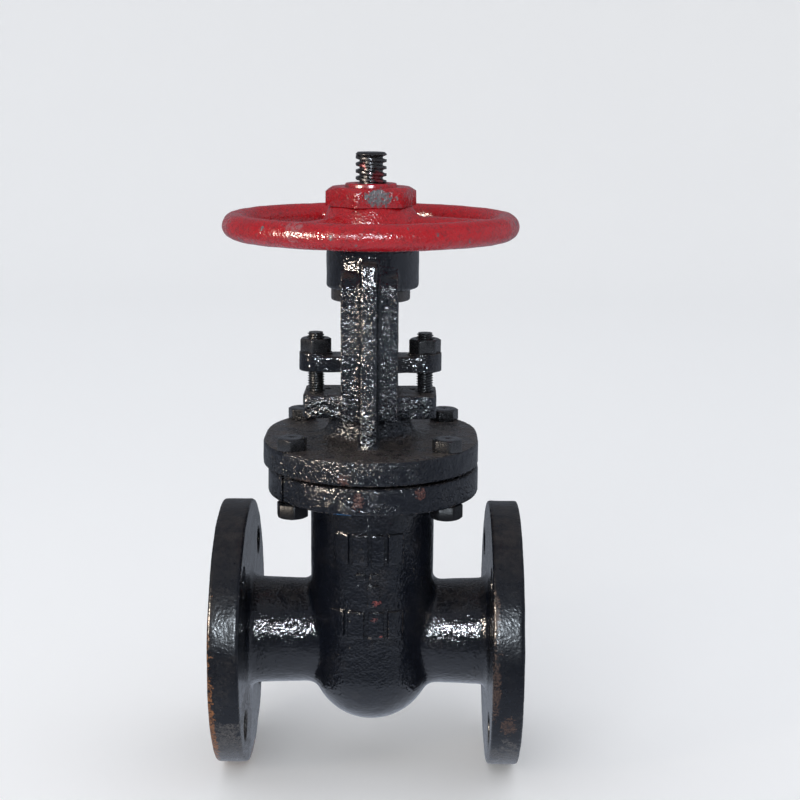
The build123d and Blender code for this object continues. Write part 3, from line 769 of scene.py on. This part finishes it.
# Each bolt: which side in x, which side in y, how far its head is turned, in degrees.
BOLTS = [(-1, -1, 25), (1, -1, 40), (1, 1, 8), (-1, 1, 50)]
STUD_X, STUD_BOTTOM, STUD_TOP, GLAND_TOP = 32.4, 136.6, 185.4, 173.7


def screw_part(name, parts, node, mat):
    """A bolt, stud or nut made from its parts."""
    obj = sharpen(join_meshes(name, parts), 48)
    dress(obj, mat, ROOT, node)


bolt_nut_bottom = BODY_FLANGE_BOTTOM - NUT_HEIGHT
for number, (side_x, side_y, turn) in enumerate(BOLTS, start=1):
    x, y = BOLT_SHIFT + side_x * BOLT_X, side_y * BOLT_Y
    head = hex_piece(HEAD_FLATS, HEAD_HEIGHT, 0, turn, seed=number, dent=0.12)
    shank = rod(SCREW_R, SCREW_ROOT_R, SCREW_PITCH, bolt_nut_bottom - STICK_OUT, BONNET_FLANGE_TOP + 0.6,
                0.25, thread_to=104.0)
    screw_part(f"bolt_{number}", [moved(head, x, y, BONNET_FLANGE_TOP), moved(shank, x, y)],
               f"bonnet_bolt_{number}", paint_bolts)
    nut = hex_piece(NUT_FLATS, NUT_HEIGHT, SCREW_R, turn + 17, chamfer_top=False, chamfer_bottom=True,
                    seed=9 + number, dent=0.12)
    screw_part(f"nut_{number}", [moved(nut, x, y, bolt_nut_bottom)], f"bonnet_nut_{number}", paint_nuts)

for name, side, turn in (("left", -1, 20), ("right", 1, 8)):
    x = side * STUD_X
    stud = rod(SCREW_R, SCREW_ROOT_R, SCREW_PITCH, STUD_BOTTOM, STUD_TOP, 0.22)
    screw_part(f"stud_{name}", [moved(stud, x)], f"gland_stud_{name}", paint_bolts)
    nut = hex_piece(NUT_FLATS, NUT_HEIGHT, SCREW_R + 0.05, turn, seed=20 + side, dent=0.12)
    screw_part(f"gland_nut_{name}_hex", [moved(nut, x, 0, GLAND_TOP)], f"gland_nut_{name}", paint_bolts)

# ---- pieces whose CAD shape stays ------------------------------------------------------------
repaint(["seat_ring_inlet", "seat_ring_outlet", "wedge_ring_inlet", "wedge_ring_outlet", "backseat_bush",
         "packing_spacer", "thrust_washer"], brass)
repaint(["bonnet_gasket"] + [f"packing_ring_{n}" for n in range(1, 5)], graphite_mat)
repaint(["wedge"], iron_mat)
repaint(["handwheel_key"], steel_key)


# ---- studio, in metres ----------------------------------------------------------------------
FLOOR_R, COVE_R, WALL_TOP = 2.2, 1.2, 2.4
FLOOR_Z = cad_box[0][2] - 0.0005


def studio():
    """A round pale floor that curves up into a wall, glowing slightly. Gloss paint doesn't mirror it."""
    g = Graph("studio_pale")
    g.shader.inputs["Emission Strength"].default_value = 0.12
    g.shader.inputs["Emission Color"].default_value = (1.0, 1.0, 1.0, 1.0)
    mat = g.done(g.mix(g.noise(900, 2), (0.80, 0.80, 0.80), (0.82, 0.82, 0.815)), 0.85)
    steps, segments = 12, 96
    profile = [(0.0, 0.0), (FLOOR_R, 0.0)]
    for k in range(1, steps + 1):
        a = k * math.pi / 2 / steps
        profile.append((FLOOR_R + COVE_R * math.sin(a), COVE_R - COVE_R * math.cos(a)))
    profile.append((FLOOR_R + COVE_R, WALL_TOP))
    verts, faces, n = [], [], len(profile)
    for s in range(segments):
        a = TAU * s / segments
        verts += [(r * math.cos(a), r * math.sin(a), z + FLOOR_Z) for r, z in profile]
    for s in range(segments):
        t = (s + 1) % segments
        faces += [(s * n + i, t * n + i, t * n + i + 1, s * n + i + 1) for i in range(n - 1)]
    sweep = new_object("floor_sweep", verts, faces)
    sweep.data.materials.append(mat)
    sweep.visible_glossy = False


def lamp(name, place, target, size, power, color, glint=False):
    """A square lamp. A glint is only mirrored by gloss; any other lamp is only soft light."""
    light = bpy.data.lights.new(name, "AREA")
    light.energy, light.color = power, color
    light.size = size
    add_light(light, place, target, glint)


def sun(name, place, target, spread, strength):
    """Even light from one side of the room, too wide to throw a hard shadow."""
    light = bpy.data.lights.new(name, "SUN")
    light.energy = strength
    light.angle = math.radians(spread)
    add_light(light, place, target, False)


def add_light(light, place, target, glint):
    """Puts a light at a place, aimed at a target, and unseen by the camera."""
    obj = bpy.data.objects.new(light.name, light)
    obj.location = place
    obj.visible_diffuse = not glint
    obj.visible_glossy = glint
    obj.visible_camera = False
    obj.rotation_euler = (Vector(target) - Vector(place)).to_track_quat("-Z", "Y").to_euler()
    COLLECTION.objects.link(obj)


def studio_sky():
    """What the gloss paint mirrors: a dim room, darkest in front, paler above, below and to the right."""
    world = bpy.data.worlds.new("studio_sky")
    bpy.context.scene.world = world
    world.use_nodes = True
    tree = world.node_tree
    split = tree.nodes.new("ShaderNodeSeparateXYZ")
    tree.links.new(tree.nodes.new("ShaderNodeTexCoord").outputs["Generated"], split.inputs[0])

    def ramp(axis, start, end, low, high):
        node = tree.nodes.new("ShaderNodeMapRange")
        node.interpolation_type = "SMOOTHSTEP"
        tree.links.new(split.outputs[axis], node.inputs[0])
        for k, value in enumerate((start, end, low, high), start=1):
            node.inputs[k].default_value = value
        return node.outputs[0]

    total = ramp(1, -0.8, 0.3, SKY_FRONT, SKY_BACK)
    for other in (ramp(2, 0.35, 0.95, 0.0, SKY_TOP), ramp(2, -0.05, -0.75, 0.0, SKY_FLOOR),
                  ramp(0, 0.35, 0.90, 0.0, SKY_RIGHT)):
        node = tree.nodes.new("ShaderNodeMath")
        node.operation = "MAXIMUM"
        tree.links.new(total, node.inputs[0])
        tree.links.new(other, node.inputs[1])
        total = node.outputs[0]
    tree.links.new(total, tree.nodes["Background"].inputs["Strength"])
    tree.nodes["Background"].inputs["Color"].default_value = (0.86, 0.94, 1.10, 1.0)


SKY_TOP, SKY_BACK, SKY_FLOOR, SKY_FRONT, SKY_RIGHT = 0.40, 0.24, 0.80, 0.12, 0.55
COOL, WARM, PLAIN = (0.82, 0.91, 1.0), (1.0, 0.86, 0.72), (1.0, 1.0, 1.0)
studio()
studio_sky()
lamp("glint_cool", (-0.02, -1.10, 0.42), (0, 0, 0.10), 0.07, 15, COOL, glint=True)
lamp("glint_warm", (-1.00, -0.80, 0.46), (0, 0, 0.12), 0.08, 46, WARM, glint=True)
lamp("fill", (-0.5, -1.6, 0.7), (0, 0, 0.12), 0.9, 9, PLAIN)
sun("room", (-0.1, -0.75, 2.2), (0, 0, 0), 150, 1.75)
bpy.context.scene.view_settings.view_transform = "Standard"

# ---- camera ---------------------------------------------------------------------------------
CAMERA_PLACE = (0.0228, -0.896, 0.3265)
YAW_DEG, PITCH_DEG, ROLL_DEG = -0.32, 11.48, 0.45
LENS_MM, SENSOR_MM = 68.8, 36.0
yaw, pitch, roll = math.radians(YAW_DEG), math.radians(PITCH_DEG), math.radians(ROLL_DEG)
ahead = Vector((math.sin(yaw) * math.cos(pitch), math.cos(yaw) * math.cos(pitch), -math.sin(pitch)))
right = Vector((math.cos(yaw), -math.sin(yaw), 0))
up = right.cross(ahead)
right, up = (right * math.cos(roll) + up * math.sin(roll), up * math.cos(roll) - right * math.sin(roll))
camera_data = bpy.data.cameras.new("camera")
camera_data.lens = LENS_MM
camera_data.sensor_width = SENSOR_MM
camera = bpy.data.objects.new("camera", camera_data)
turn = Matrix((right, up, -ahead)).transposed().to_4x4()
camera.matrix_world = Matrix.Translation(CAMERA_PLACE) @ turn
COLLECTION.objects.link(camera)
bpy.context.scene.camera = camera
